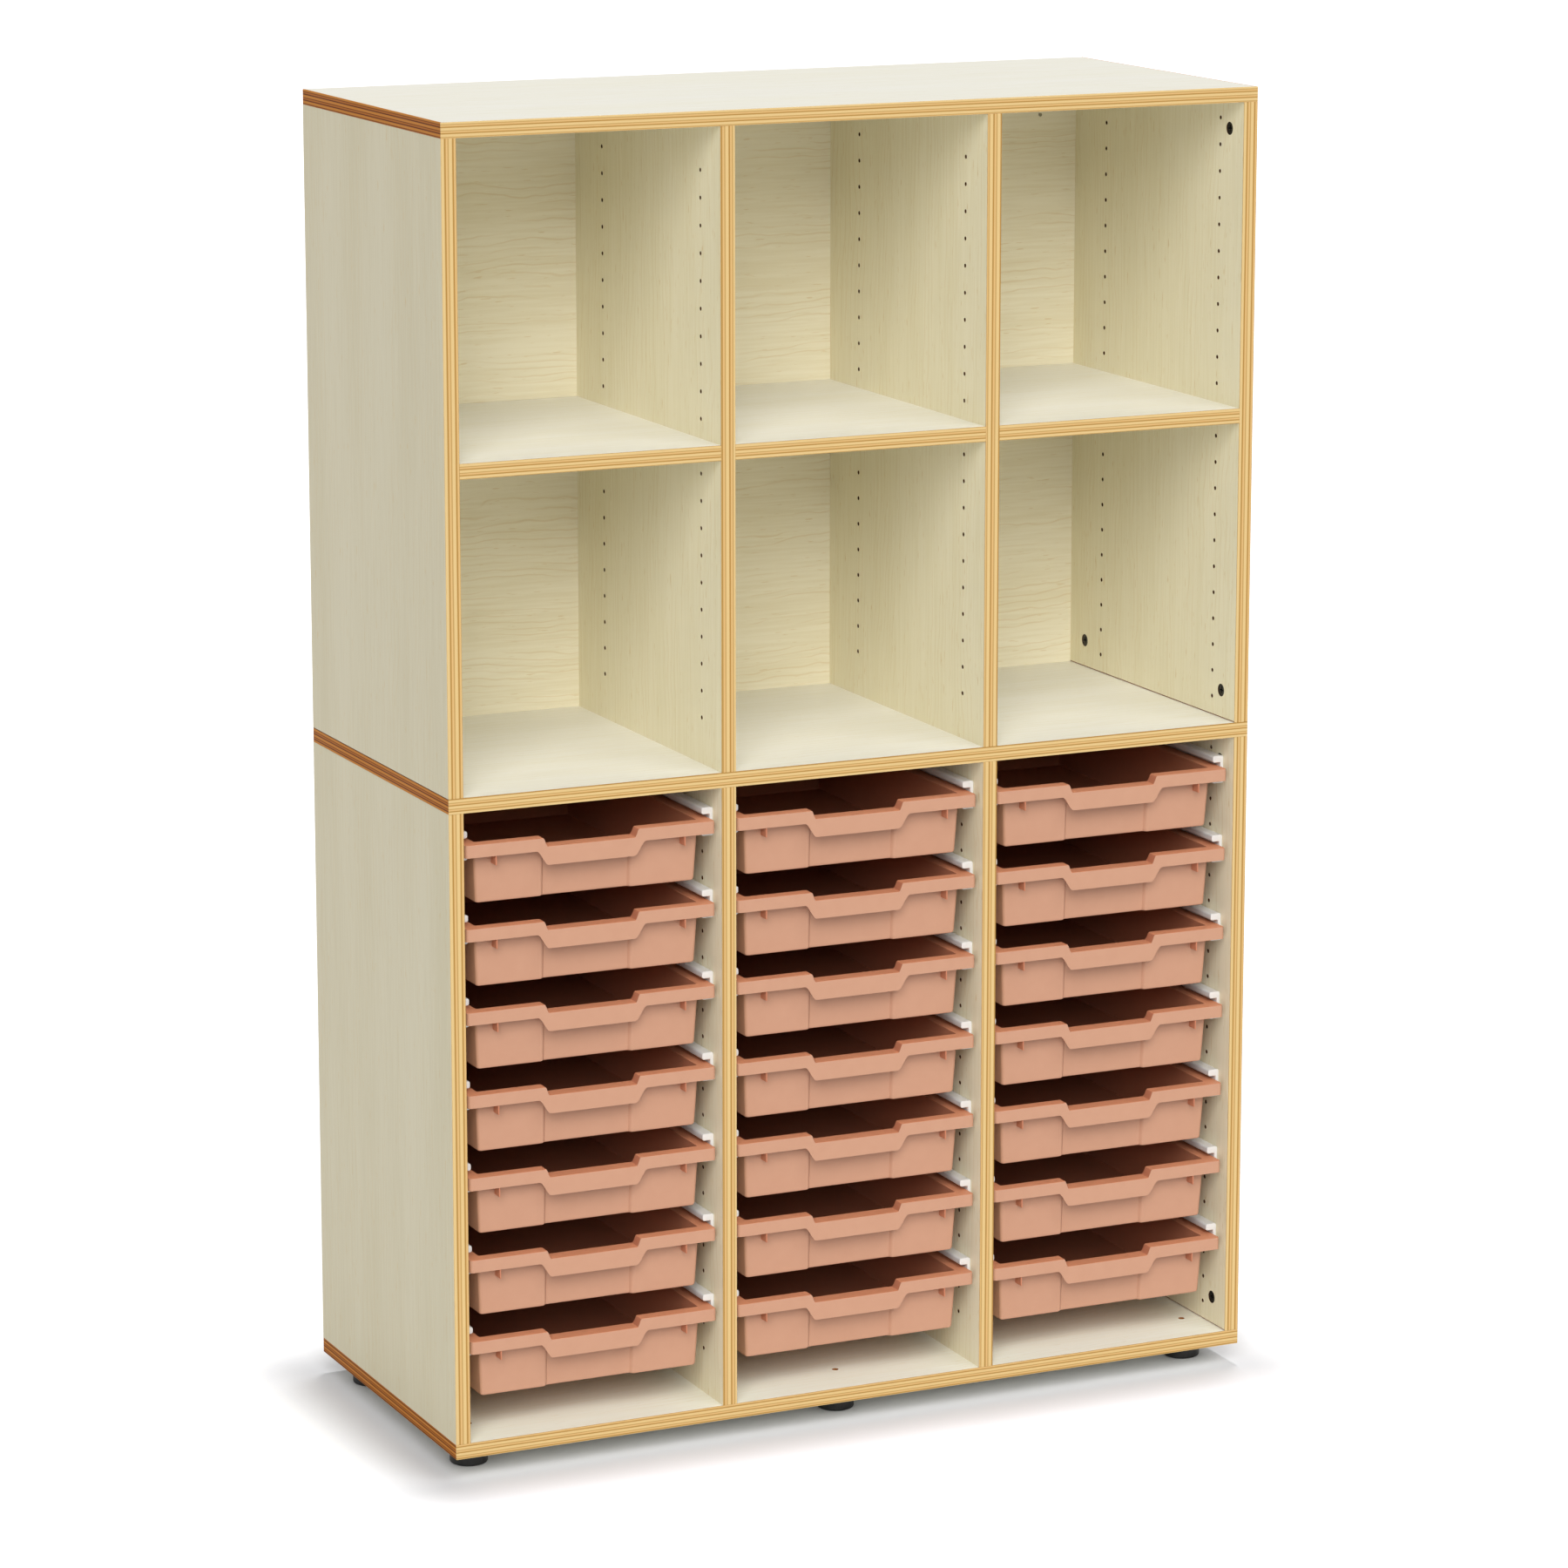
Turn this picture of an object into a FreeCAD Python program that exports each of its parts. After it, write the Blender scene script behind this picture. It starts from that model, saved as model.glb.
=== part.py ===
import FreeCAD, Part
import math
import os

# Classroom tray storage unit: a cabinet of two storeys and three bays. The upper storey has
# one shelf in each bay. The lower storey has seven moulded trays in each bay, hung by their
# rims in plastic runners. The cabinet stands on six levelling feet.
# Origin: centre of the footprint, on the floor. X to the right, Y to the back, Z up.

# ---------------------------------------------------------------- driving dimensions, mm
# Carcass of melamine-faced board
bay_count = 3
bay_width = 322.0            # clear width between two uprights
bay_height = 750.0           # clear height of each storey
board = 18.0                 # thickness of boards, uprights and shelves
back_board = 18.0            # thickness of the two backs
cabinet_depth = 445.0        # front edges to back faces
edging = 2.0                 # thickness of the glued edging strips
shelf_back_gap = 1.0         # shelf to the upper back

# Wall fixing holes in the upper back
wall_hole_radius = 2.5
wall_hole_inset = 50.0       # from the end upright and from the top board

# Levelling feet, screwed into the base board
foot_height = 28.0           # floor to the underside of the base board
foot_radius = 22.5
foot_flats = 24              # flats that stand for the round pad
foot_pad_height = 18.0
screw_radius = 4.0
screw_fit = 0.05             # running clearance of the screw in its hole
screw_from_top = 3.0         # end of the screw below the top of the base board
foot_inset_side = 42.0       # centre of an outer foot from the cabinet's side
foot_inset_front = 68.0      # front row of feet from the front edges
foot_inset_back = 54.0       # back row of feet from the back faces

# Moulded trays
tray_rows = 7
tray_top_gap = 40.0          # middle board to the rim of the top tray
lowest_rim = 119.0           # base board to the rim of the bottom tray
tray_set_back = 8.0          # rim's front face behind the front edges
tray_side_gap = 5.0          # rim to the upright
tray_back_gap = 5.0          # rim to the lower back
tray_height = 73.0
tray_wall = 2.0
corner_flats = 2             # flats that stand for each rounded corner
rim_side = 15.0              # rim's overhang beyond the body, at the sides
rim_front = 14.5             # rim's overhang at the front
rim_back = 12.0              # rim's overhang at the back
rim_skirt = 15.0             # height of the turned-down edge
rim_corner = 4.0
body_corner = 5.0
body_draft = 3.8             # how far the walls lean in over the tray's height

# The tray's handle: a dip in the rim over a deeper skirt
handle_half_width = 55.5     # half the width of the dip's level middle
handle_slope = 3.5           # width of the ramp at each end of the dip
handle_dip = 10.0            # the rim's top drops by this
handle_lower_half_width = 54.5
handle_lower_slope = 13.0
handle_drop = 17.0           # the skirt's lower edge drops by this
handle_recess = 4.0          # the wall steps back behind the handle by this
recess_slope = 2.0
rib_from_centre = 118.0      # two ribs under the front rim
rib_thickness = 1.6
rib_height = 24.0

# Runners, C sections on the uprights
runner_set_back = 26.0       # front end behind the front edges
runner_back_gap = 16.0       # back end to the lower back
runner_web = 4.2
runner_reach = 14.5          # how far the flanges stand out from the upright
runner_top = 12.8            # top edge above the tray's rim
runner_bottom = 21.3         # bottom edge below the tray's rim
runner_upper_gap = 4.4       # rim to the upper flange
runner_seat_gap = 0.3        # skirt to the lower flange
runner_ease = 2.5            # bevel of the flanges' outer edges

# ---------------------------------------------------------------- derived places
bay_pitch = bay_width + board
cabinet_width = bay_count * bay_pitch + board
left = -cabinet_width / 2
right = cabinet_width / 2
front = -cabinet_depth / 2
back = cabinet_depth / 2
back_face = back - back_board                 # front face of the two backs
lower_floor = foot_height + board
middle_bottom = lower_floor + bay_height
upper_floor = middle_bottom + board
top_bottom = upper_floor + bay_height
shelf_bottom = upper_floor + (bay_height - board) / 2
tray_width = bay_width - 2 * tray_side_gap
tray_depth = back_face - tray_back_gap - front - tray_set_back
tray_pitch = (bay_height - tray_top_gap - lowest_rim) / (tray_rows - 1)
runner_length = back_face - runner_back_gap - front - runner_set_back
storeys = {"upper": upper_floor, "lower": lower_floor}
bay_names = ["left", "centre", "right"]
upright_names = ["left_end", "left_divider", "right_divider", "right_end"]


# ---------------------------------------------------------------- small helpers
def block(x0, x1, y0, y1, z0, z1):
    """A rectangular block between two opposite corners."""
    return Part.makeBox(x1 - x0, y1 - y0, z1 - z0, FreeCAD.Vector(x0, y0, z0))


def rod(radius, start, direction, length):
    """A round rod or drilling from a start point."""
    return Part.makeCylinder(radius, length, FreeCAD.Vector(*start), FreeCAD.Vector(*direction))


def side_profile(points, y0, y1):
    """A prism whose outline is given in X and Z, drawn out along Y."""
    corners = [FreeCAD.Vector(x, y0, z) for x, z in points]
    outline = Part.makePolygon(corners + corners[:1])
    return Part.Face(outline).extrude(FreeCAD.Vector(0, y1 - y0, 0))


def upright_left(index):
    """Left face of an upright, counted from the left end."""
    return left + index * bay_pitch


def bay_left(bay):
    """Left wall of a bay's clear space."""
    return upright_left(bay) + board


def save(name, shape):
    """Writes one node."""
    shape.exportStep(os.path.join("parts", name + ".step"))


# ---------------------------------------------------------------- boards and edging
def level_board(z0):
    """Top, middle or base board, full width, edged on the front and both sides."""
    return block(left + edging, right - edging, front + edging, back, z0, z0 + board)


def level_edging(z0):
    """Front strip over the full width, and a strip along each side behind it."""
    front_strip = block(left, right, front, front + edging, z0, z0 + board)
    left_strip = block(left, left + edging, front + edging, back, z0, z0 + board)
    right_strip = block(right - edging, right, front + edging, back, z0, z0 + board)
    return [front_strip, left_strip, right_strip]


def foot_places():
    """The six feet: name, X and Y of the centre."""
    columns = [("left", left + foot_inset_side), ("centre", 0.0), ("right", right - foot_inset_side)]
    rows = [("front", front + foot_inset_front), ("back", back - foot_inset_back)]
    return [(row + "_" + column, x, y) for row, y in rows for column, x in columns]


def base_board():
    """The base board, drilled right through for the feet's screws, which are turned from above."""
    solid = level_board(foot_height)
    for _, x, y in foot_places():
        solid = solid.cut(rod(screw_radius + screw_fit, (x, y, foot_height), (0, 0, 1), board))
    return solid


def upright(index, floor):
    """An upright. The ends run the full depth, and the dividers stop at the back."""
    x0 = upright_left(index)
    rear = back if index in (0, bay_count) else back_face
    return block(x0, x0 + board, front + edging, rear, floor, floor + bay_height)


def upright_edging():
    """A strip on the front edge of each upright."""
    strips = []
    for floor in storeys.values():
        for index in range(bay_count + 1):
            x0 = upright_left(index)
            strips.append(block(x0, x0 + board, front, front + edging, floor, floor + bay_height))
    return strips


def back_panel(floor):
    """A back, let in between the end uprights."""
    return block(left + board, right - board, back_face, back, floor, floor + bay_height)


def drill_for_wall(panel):
    """The upper back with a wall fixing hole near each upper corner."""
    for x in (left + board + wall_hole_inset, right - board - wall_hole_inset):
        place = (x, back_face, top_bottom - wall_hole_inset)
        panel = panel.cut(rod(wall_hole_radius, place, (0, 1, 0), back_board))
    return panel


def shelf(bay):
    """A shelf, halfway up the upper storey."""
    x0 = bay_left(bay)
    return block(x0, x0 + bay_width, front + edging, back_face - shelf_back_gap,
                 shelf_bottom, shelf_bottom + board)


def shelf_edging():
    """A strip on the front edge of each shelf."""
    strips = []
    for bay in range(bay_count):
        x0 = bay_left(bay)
        strips.append(block(x0, x0 + bay_width, front, front + edging, shelf_bottom, shelf_bottom + board))
    return strips


# ---------------------------------------------------------------- feet
def foot_pad(x, y):
    """The foot's round pad, drawn with flats."""
    corners = []
    for step in range(foot_flats + 1):
        turn = math.radians(360) * step / foot_flats
        corners.append(FreeCAD.Vector(x + foot_radius * math.cos(turn), y + foot_radius * math.sin(turn), 0))
    return Part.Face(Part.makePolygon(corners)).extrude(FreeCAD.Vector(0, 0, foot_pad_height))


def foot(x, y):
    """A levelling foot: the pad with its screw."""
    screw_top = foot_height + board - screw_from_top
    screw = rod(screw_radius, (x, y, foot_pad_height), (0, 0, 1), screw_top - foot_pad_height)
    return foot_pad(x, y).fuse(screw)


# ---------------------------------------------------------------- trays
def rounded_outline(corners, z):
    """A closed level outline through corners given as X, Y and radius, all at right angles if rounded."""
    points = []
    for i, (x, y, radius) in enumerate(corners):
        corner = FreeCAD.Vector(x, y, z)
        if radius == 0:
            points.append(corner)
            continue
        before = FreeCAD.Vector(corners[i - 1][0], corners[i - 1][1], z) - corner
        after = FreeCAD.Vector(*corners[(i + 1) % len(corners)][:2], z) - corner
        before.normalize()
        after.normalize()
        centre = corner + (before + after) * radius
        for step in range(corner_flats + 1):
            turn = math.radians(90) * step / corner_flats
            points.append(centre - after * radius * math.cos(turn) - before * radius * math.sin(turn))
    return Part.makePolygon(points + points[:1])


def body_outline(inset, lean, z, corner):
    """A level outline of the tray's body, stepped back behind the handle."""
    x = tray_width / 2 - rim_side - inset - lean
    y0 = rim_front + inset + lean
    y1 = tray_depth - rim_back - inset - lean
    step = handle_lower_half_width + inset
    recess = [(-step, y0, 0), (-step + recess_slope, y0 + handle_recess, 0),
              (step - recess_slope, y0 + handle_recess, 0), (step, y0, 0)]
    return rounded_outline([(-x, y1, corner), (-x, y0, corner)] + recess
                           + [(x, y0, corner), (x, y1, corner)], z)


def tray_body(inset, bottom):
    """The tapering body, or with an inset the hollow inside it."""
    corner = body_corner - inset
    upper = body_outline(inset, 0.0, 0.0, corner)
    lower = body_outline(inset, -bottom / tray_height * body_draft, bottom, corner)
    return Part.makeLoft([upper, lower], True, True)


def rim_block(inset, z0, z1):
    """The rim's outer block, or with an inset the space inside its skirt."""
    x = tray_width / 2 - inset
    y1 = tray_depth - inset
    corner = rim_corner - inset
    outline = rounded_outline([(-x, y1, corner), (-x, inset, corner), (x, inset, corner), (x, y1, corner)], z0)
    return Part.Face(outline).extrude(FreeCAD.Vector(0, 0, z1 - z0))


def dip_line(half_width, slope, high, low):
    """A line that dips in the middle, from left to right."""
    return [(-half_width - slope, high), (-half_width, low), (half_width, low), (half_width + slope, high)]


def moulded_tray():
    """A tray with its rim's top at Z 0, its front face at Y 0 and its middle at X 0."""
    solid = rim_block(0.0, -rim_skirt, 0.0)
    solid = solid.cut(rim_block(tray_wall, -rim_skirt, -tray_wall))
    solid = solid.fuse(tray_body(0.0, -tray_height))

    # the deeper skirt that hides the fingers
    deep_skirt = dip_line(handle_lower_half_width, handle_lower_slope, -rim_skirt, -rim_skirt - handle_drop)
    solid = solid.fuse(side_profile(deep_skirt, 0.0, tray_wall))

    # the dip: a strip bent down by one wall's thickness, then everything above it cut away
    dip_top = dip_line(handle_half_width, handle_slope, 0.0, -handle_dip)
    ramp = math.hypot(handle_slope, handle_dip)
    across = tray_wall * ramp / handle_dip
    inner = tray_wall * (ramp - handle_slope) / handle_dip
    dip_underside = dip_line(handle_half_width + inner, handle_slope + across - inner, 0.0,
                             -handle_dip - tray_wall)
    strip_end = rim_front + handle_recess + tray_wall
    solid = solid.fuse(side_profile(dip_underside, 0.0, strip_end))
    solid = solid.cut(side_profile(dip_top, 0.0, strip_end + tray_wall))

    for middle in (-rib_from_centre, rib_from_centre):
        rib = block(middle - rib_thickness / 2, middle + rib_thickness / 2,
                    tray_wall / 2, rim_front + tray_wall, -rib_height, -tray_wall / 2)
        solid = solid.fuse(rib)
    hollow = tray_body(tray_wall, -tray_height + tray_wall)
    return solid.cut(hollow).removeSplitter()


def rim_level(row):
    """Height of a tray's rim, counted from the top row."""
    return middle_bottom - tray_top_gap - row * tray_pitch


def tray(model, bay, row):
    """The tray of one bay and row."""
    solid = model.copy()
    solid.translate(FreeCAD.Vector(bay_left(bay) + bay_width / 2, front + tray_set_back, rim_level(row)))
    return solid


# ---------------------------------------------------------------- runners
def left_runner():
    """A left-hand runner: a C section with its back on X 0, its front end at Y 0 and the tray's rim at Z 0."""
    seat = -rim_skirt - runner_seat_gap
    eased = runner_reach - runner_ease
    points = [(0, -runner_bottom), (eased, -runner_bottom), (runner_reach, -runner_bottom + runner_ease),
              (runner_reach, seat), (runner_web, seat), (runner_web, runner_upper_gap),
              (eased, runner_upper_gap), (runner_reach, runner_upper_gap + runner_ease),
              (runner_reach, runner_top - runner_ease), (eased, runner_top), (0, runner_top)]
    return side_profile(points, 0.0, runner_length)


def runners(model, bay, side):
    """The seven runners on one wall of a bay."""
    solids = []
    for row in range(tray_rows):
        wall = bay_left(bay)
        solid = model.copy()
        if side == "right":
            solid = solid.mirror(FreeCAD.Vector(0, 0, 0), FreeCAD.Vector(1, 0, 0))
            wall += bay_width
        solid.translate(FreeCAD.Vector(wall, front + runner_set_back, rim_level(row)))
        solids.append(solid)
    return solids


# ---------------------------------------------------------------- build
os.makedirs("parts", exist_ok=True)

save("top_board", level_board(top_bottom))
save("middle_board", level_board(middle_bottom))
save("base_board", base_board())
save("board_edging", Part.makeCompound(
    level_edging(top_bottom) + level_edging(middle_bottom) + level_edging(foot_height)))

for storey, floor in storeys.items():
    for index, name in enumerate(upright_names):
        save(storey + "_" + name, upright(index, floor))
save("upright_edging", Part.makeCompound(upright_edging()))
save("upper_back", drill_for_wall(back_panel(upper_floor)))
save("lower_back", back_panel(lower_floor))

for bay, bay_name in enumerate(bay_names):
    save("shelf_" + bay_name, shelf(bay))
save("shelf_edging", Part.makeCompound(shelf_edging()))

for name, x, y in foot_places():
    save("foot_" + name, foot(x, y))

tray_model = moulded_tray()
runner_model = left_runner()
for bay, bay_name in enumerate(bay_names):
    for row in range(tray_rows):
        save("tray_" + bay_name + "_" + str(row + 1), tray(tray_model, bay, row))
    for side in ("left", "right"):
        save("runners_" + bay_name + "_bay_" + side, Part.makeCompound(runners(runner_model, bay, side)))
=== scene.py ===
import math

import bmesh
import bpy
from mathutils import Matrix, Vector


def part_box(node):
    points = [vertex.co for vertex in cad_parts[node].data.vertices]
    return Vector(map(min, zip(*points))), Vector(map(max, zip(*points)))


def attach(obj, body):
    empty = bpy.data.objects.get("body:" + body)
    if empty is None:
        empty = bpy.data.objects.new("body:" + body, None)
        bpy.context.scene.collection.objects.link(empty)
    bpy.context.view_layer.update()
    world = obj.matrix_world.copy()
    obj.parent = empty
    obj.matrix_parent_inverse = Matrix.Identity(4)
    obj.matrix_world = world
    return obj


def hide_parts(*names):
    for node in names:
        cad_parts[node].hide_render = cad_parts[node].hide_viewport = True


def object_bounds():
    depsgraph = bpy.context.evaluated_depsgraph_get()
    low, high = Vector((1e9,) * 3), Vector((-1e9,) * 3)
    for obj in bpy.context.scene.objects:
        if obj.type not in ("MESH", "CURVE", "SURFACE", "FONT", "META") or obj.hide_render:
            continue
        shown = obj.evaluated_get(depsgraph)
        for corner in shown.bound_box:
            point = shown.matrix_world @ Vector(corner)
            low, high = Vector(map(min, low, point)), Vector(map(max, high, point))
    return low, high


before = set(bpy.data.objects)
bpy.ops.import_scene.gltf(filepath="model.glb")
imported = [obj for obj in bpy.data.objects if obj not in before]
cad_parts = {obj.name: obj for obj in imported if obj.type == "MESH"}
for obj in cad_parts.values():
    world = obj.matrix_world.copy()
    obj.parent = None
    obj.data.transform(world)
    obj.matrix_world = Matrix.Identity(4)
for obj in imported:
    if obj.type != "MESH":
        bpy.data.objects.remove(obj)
solids_low, solids_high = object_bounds()

# ---------------------------------------------------------------------------------------------
# The level boards: top, middle and base. 18 mm chipboard faced with pale maple melamine, its
# grain running from side to side. The uprights stand between them.
growth_pitch = 0.0095             # from one printed growth line to the next
grain_level = (0, 0, 0)


def srgb(red, green, blue):
    """A colour as Blender's linear values, from 0 to 255 as paint charts give it."""
    def linear(value):
        value = value / 255
        return value / 12.92 if value <= 0.04045 else ((value + 0.055) / 1.055) ** 2.4
    return (linear(red), linear(green), linear(blue), 1.0)


def group_sockets(group, inputs, outputs):
    """Gives a node group its named sockets; inputs are name, kind and starting value."""
    for name, kind, value in inputs:
        socket = group.interface.new_socket(name, in_out="INPUT", socket_type=kind)
        socket.default_value = value
    for name, kind in outputs:
        group.interface.new_socket(name, in_out="OUTPUT", socket_type=kind)


def place(tree, kind, **settings):
    """Adds a shader node with its settings."""
    node = tree.nodes.new(kind)
    for name, value in settings.items():
        setattr(node, name, value)
    return node


def maple_grain_group():
    """Printed maple with its grain along X: fine fibres, thin wandering growth lines, short flecks."""
    group = bpy.data.node_groups.new("maple grain", "ShaderNodeTree")
    group_sockets(group,
                  [("Along grain", "NodeSocketVector", (0, 0, 0)),
                   ("Pale", "NodeSocketColor", srgb(236, 230, 206)),
                   ("Fibre", "NodeSocketColor", srgb(222, 212, 180)),
                   ("Growth line", "NodeSocketColor", srgb(206, 174, 96)),
                   ("Line strength", "NodeSocketFloat", 0.3),
                   ("Fleck strength", "NodeSocketFloat", 0.3)],
                  [("Colour", "NodeSocketColor"), ("Gloss change", "NodeSocketFloat"),
                   ("Relief", "NodeSocketFloat")])
    links = group.links
    entry = place(group, "NodeGroupInput")
    leave = place(group, "NodeGroupOutput")

    def stretched(scale, detail, *stretch):
        """A noise drawn out along the grain."""
        lay = place(group, "ShaderNodeMapping")
        lay.inputs["Scale"].default_value = stretch
        noise = place(group, "ShaderNodeTexNoise")
        noise.inputs["Scale"].default_value = scale
        noise.inputs["Detail"].default_value = detail
        links.new(entry.outputs["Along grain"], lay.inputs["Vector"])
        links.new(lay.outputs["Vector"], noise.inputs["Vector"])
        return noise.outputs["Fac"]

    def step(value, low, high):
        """0 below low, 1 above high, smooth between."""
        ramp = place(group, "ShaderNodeMapRange", interpolation_type="SMOOTHSTEP")
        ramp.inputs["From Min"].default_value = low
        ramp.inputs["From Max"].default_value = high
        links.new(value, ramp.inputs["Value"])
        return ramp.outputs["Result"]

    def work(operation, first, second, third=None):
        """One sum of values or numbers."""
        node = place(group, "ShaderNodeMath", operation=operation)
        for socket, value in zip(node.inputs, (first, second, third)):
            if isinstance(value, (int, float)):
                socket.default_value = value
            elif value is not None:
                links.new(value, socket)
        return node.outputs[0]

    fibres = stretched(9.0, 5.0, 1.2, 30, 30)
    figure = stretched(1.0, 3.0, 1.4, 14, 14)
    share = step(work("ADD", work("MULTIPLY", fibres, 0.7), work("MULTIPLY", figure, 0.5)), 0.42, 0.80)
    body = place(group, "ShaderNodeMix", data_type="RGBA")
    links.new(share, body.inputs["Factor"])
    links.new(entry.outputs["Pale"], body.inputs["A"])
    links.new(entry.outputs["Fibre"], body.inputs["B"])

    # growth lines: level with the grain, bent by slow waves so that some close into arches
    apart = place(group, "ShaderNodeSeparateXYZ")
    links.new(entry.outputs["Along grain"], apart.inputs["Vector"])
    across = work("ADD", apart.outputs["Y"], apart.outputs["Z"])
    slow = work("MULTIPLY_ADD", stretched(1.0, 1.0, 1.3, 3.2, 3.2), 0.11, across)
    bent = work("MULTIPLY_ADD", stretched(1.0, 3.0, 9, 15, 15), 0.030, slow)
    rings = work("PINGPONG", bent, growth_pitch / 2)
    line = step(work("DIVIDE", rings, growth_pitch / 2), 0.70, 1.0)
    broken = step(stretched(1.0, 2.0, 5, 42, 42), 0.44, 0.60)
    lines = work("MULTIPLY", work("MULTIPLY", line, broken), entry.outputs["Line strength"])
    flecks = work("MULTIPLY", step(stretched(1.0, 1.0, 48, 500, 500), 0.68, 0.78),
                  entry.outputs["Fleck strength"])
    marks = work("MAXIMUM", lines, flecks)
    marked = place(group, "ShaderNodeMix", data_type="RGBA")
    links.new(marks, marked.inputs["Factor"])
    links.new(body.outputs["Result"], marked.inputs["A"])
    links.new(entry.outputs["Growth line"], marked.inputs["B"])
    links.new(marked.outputs["Result"], leave.inputs["Colour"])
    links.new(figure, leave.inputs["Gloss change"])
    links.new(fibres, leave.inputs["Relief"])
    return group


maple_grain = maple_grain_group()


def maple_melamine(name, turn, shift, pale, fibre, line_strength, fleck_strength):
    """Satin melamine with maple grain; turn lays the grain along the piece's length."""
    material = bpy.data.materials.new(name)
    material.use_nodes = True
    tree = material.node_tree
    shader = tree.nodes["Principled BSDF"]
    where = place(tree, "ShaderNodeTexCoord")
    lay = place(tree, "ShaderNodeMapping")
    lay.inputs["Rotation"].default_value = turn
    lay.inputs["Location"].default_value = shift
    grain = place(tree, "ShaderNodeGroup", node_tree=maple_grain)
    grain.inputs["Pale"].default_value = pale
    grain.inputs["Fibre"].default_value = fibre
    grain.inputs["Line strength"].default_value = line_strength
    grain.inputs["Fleck strength"].default_value = fleck_strength
    tree.links.new(where.outputs["Object"], lay.inputs["Vector"])
    tree.links.new(lay.outputs["Vector"], grain.inputs["Along grain"])
    tree.links.new(grain.outputs["Colour"], shader.inputs["Base Color"])
    gloss = place(tree, "ShaderNodeMapRange")
    gloss.inputs["To Min"].default_value = 0.42
    gloss.inputs["To Max"].default_value = 0.56
    tree.links.new(grain.outputs["Gloss change"], gloss.inputs["Value"])
    tree.links.new(gloss.outputs["Result"], shader.inputs["Roughness"])
    pores = place(tree, "ShaderNodeBump")
    pores.inputs["Strength"].default_value = 0.06
    pores.inputs["Distance"].default_value = 0.0004
    tree.links.new(grain.outputs["Relief"], pores.inputs["Height"])
    tree.links.new(pores.outputs["Normal"], shader.inputs["Normal"])
    shader.inputs["Specular IOR Level"].default_value = 0.25
    return material


def dress(node, material):
    """Gives a carried-over CAD node its finish."""
    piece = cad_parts[node]
    piece.data.materials.clear()
    piece.data.materials.append(material)


# The level boards and shelves are the same melamine as the other boards, given lighter, whiter colours:
# painted light, for the light falling on their tops.
level_maple_painted_light = maple_melamine("maple melamine, level, painted light", grain_level, (0.3, 0.1, 0.7),
                             srgb(244, 242, 232), srgb(239, 236, 221), line_strength=0.10,
                             fleck_strength=0.30)
for node in ("top_board", "middle_board"):
    dress(node, level_maple_painted_light)

# ---------------------------------------------------------------------------------------------
# The uprights: two ends and two dividers in each storey, of the same melamine board with the
# grain upright. Rows of 5 mm holes for shelf pins are drilled at a pitch of 32 mm. Each end
# has four 15 mm pockets for the cam locks that hold it to the boards above and below.
pin_hole_radius = 0.0025
pin_hole_depth = 0.0075
pin_hole_pitch = 0.032
pin_rows_from_front = (0.057, 0.345)
end_first_hole = 0.023            # lowest hole above the storey's floor
end_holes = 23
divider_first_hole = 0.055
divider_holes = 21
cam_radius = 0.0075
cam_fit = 0.0003                  # pocket wider than its cam lock, all round
cam_pocket_depth = 0.0125
cam_from_board = 0.034
cam_rows_from_front = (0.035, 0.388)
joint_chamfer = 0.0014
hair = 0.0001                     # two places closer than this count as one
along_x = (0, math.radians(90), 0)
grain_upright = (0, math.radians(90), 0)
front_face = solids_low.y
upright_names = ("left_end", "left_divider", "right_divider", "right_end")

upright_maple = maple_melamine("maple melamine, upright", grain_upright, (0.2, 0.4, 0.1),
                               srgb(241, 234, 206), srgb(235, 227, 195), line_strength=0.20,
                               fleck_strength=0.50)
# The outer faces of the ends are the same melamine, given darker colours: painted shade, as these faces are
# turned from the light.
outer_maple_painted_shade = maple_melamine("maple melamine, outer face, painted shade", grain_upright, (0.5, 0.2, 0.4),
                             srgb(216, 208, 179), srgb(211, 202, 171), line_strength=0.15,
                             fleck_strength=0.45)


def fine_speckle_group():
    """A fine two-colour speckle for plastic, metal and chipboard, with its roughness and relief."""
    group = bpy.data.node_groups.new("fine speckle", "ShaderNodeTree")
    group_sockets(group,
                  [("Position", "NodeSocketVector", (0, 0, 0)),
                   ("Dark", "NodeSocketColor", srgb(90, 90, 90)),
                   ("Light", "NodeSocketColor", srgb(120, 120, 120)),
                   ("Grains per metre", "NodeSocketFloat", 300.0),
                   ("Roughness", "NodeSocketFloat", 0.5)],
                  [("Colour", "NodeSocketColor"), ("Roughness", "NodeSocketFloat"),
                   ("Relief", "NodeSocketFloat")])
    entry = place(group, "NodeGroupInput")
    leave = place(group, "NodeGroupOutput")
    grains = place(group, "ShaderNodeTexNoise")
    grains.inputs["Detail"].default_value = 4.0
    group.links.new(entry.outputs["Position"], grains.inputs["Vector"])
    group.links.new(entry.outputs["Grains per metre"], grains.inputs["Scale"])
    blend = place(group, "ShaderNodeMix", data_type="RGBA")
    group.links.new(grains.outputs["Fac"], blend.inputs["Factor"])
    group.links.new(entry.outputs["Dark"], blend.inputs["A"])
    group.links.new(entry.outputs["Light"], blend.inputs["B"])
    spread = place(group, "ShaderNodeMath", operation="MULTIPLY_ADD")
    spread.inputs[1].default_value = 0.16
    group.links.new(grains.outputs["Fac"], spread.inputs[0])
    group.links.new(entry.outputs["Roughness"], spread.inputs[2])
    group.links.new(blend.outputs["Result"], leave.inputs["Colour"])
    group.links.new(spread.outputs[0], leave.inputs["Roughness"])
    group.links.new(grains.outputs["Fac"], leave.inputs["Relief"])
    return group


fine_speckle = fine_speckle_group()


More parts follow.
